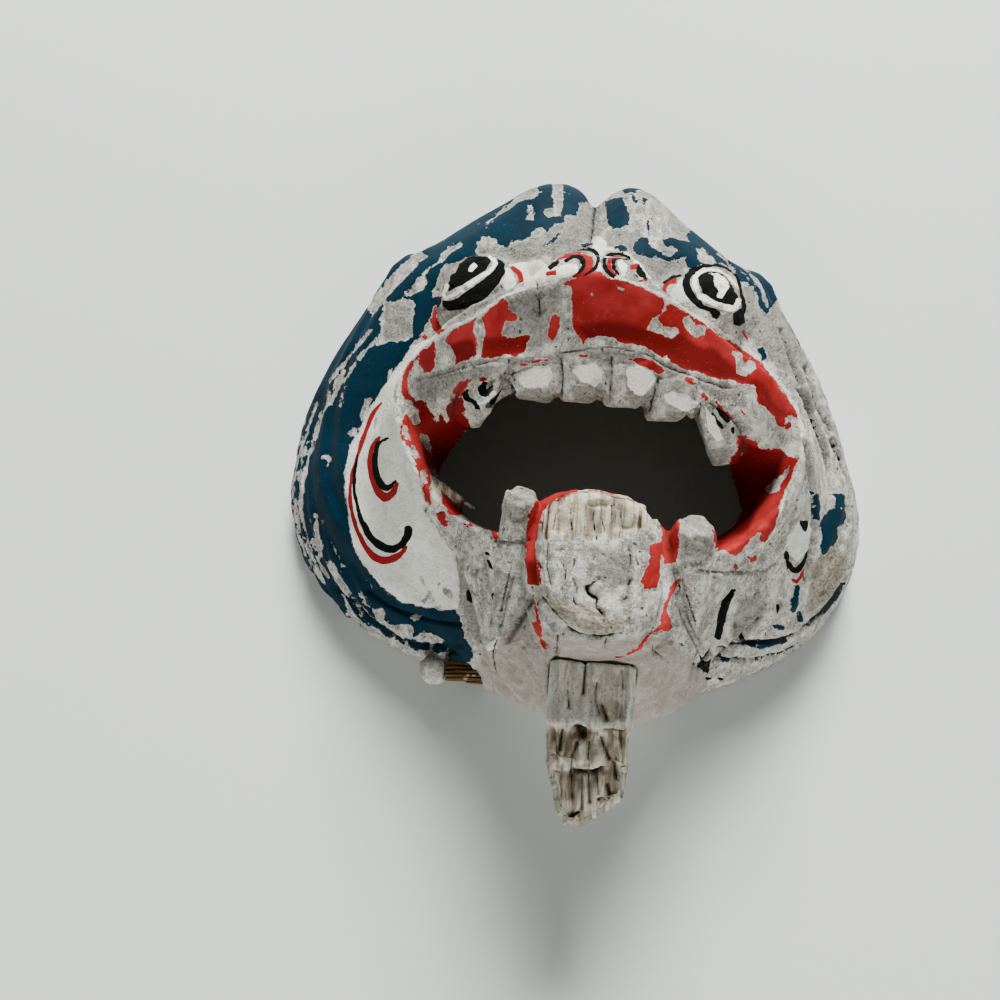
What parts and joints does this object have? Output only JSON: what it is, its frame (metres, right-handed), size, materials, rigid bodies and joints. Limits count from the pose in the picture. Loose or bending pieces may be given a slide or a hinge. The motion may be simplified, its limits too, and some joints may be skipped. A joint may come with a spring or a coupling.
{
  "type": "carved wooden mask",
  "caption": "Hollow carved and painted wooden demon mask with a bulging muzzle, open toothed mouth, broken tongue, chin peg and side pin.",
  "frame": {"origin": "the middle of the whole box seen from above, on the plane of the flat back rim", "axes": "+X to the viewer's right, +Y from the chin towards the forehead, +Z out of the face, with the mask lying on its back rim"},
  "size_m": [0.154, 0.171, 0.088],
  "materials": {
    "painted_wood": "matt paint, flaked off to grey primer and wood",
    "weathered_wood": "bare, dry and fibrous",
    "bamboo": "bare, smooth on top and grooved below"
  },
  "bodies": {
    "root": {"mask": "painted_wood", "chin_peg": "weathered_wood", "side_pin": "bamboo"}
  },
  "joints": []
}
